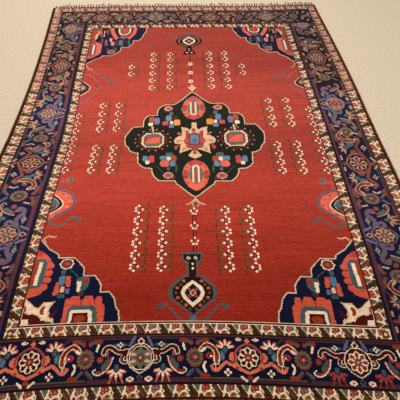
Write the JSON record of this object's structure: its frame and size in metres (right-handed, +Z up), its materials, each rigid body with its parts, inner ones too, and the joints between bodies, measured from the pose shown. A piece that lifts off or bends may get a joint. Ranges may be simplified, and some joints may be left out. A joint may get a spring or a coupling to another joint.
{
  "type": "hand-knotted wool rug",
  "caption": "Flat room-size knotted wool rug with a red field, dark central medallion, navy main border between ivory guards, corded sides and short worn end fringe.",
  "frame": {"origin": "on the floor, under the middle of the whole rug's box, fringe included", "axes": "+X across the rug to the right, +Y along the rug to its far end, +Z up out of the pile"},
  "size_m": [2.009, 2.8828, 0.0091],
  "materials": {
    "knotted_wool": "hand-knotted wool pile, low and worn, madder red with navy, ivory and other dyed wools",
    "cord_wool": "side cord overcast with dark red-brown wool",
    "warp_wool": "undyed brown and beige wool warp ends, twisted, dry and frayed"
  },
  "bodies": {
    "root": {"pile": "knotted_wool", "side_cord_left": "cord_wool", "side_cord_right": "cord_wool", "fringe_near": "warp_wool", "fringe_far": "warp_wool"}
  },
  "joints": []
}
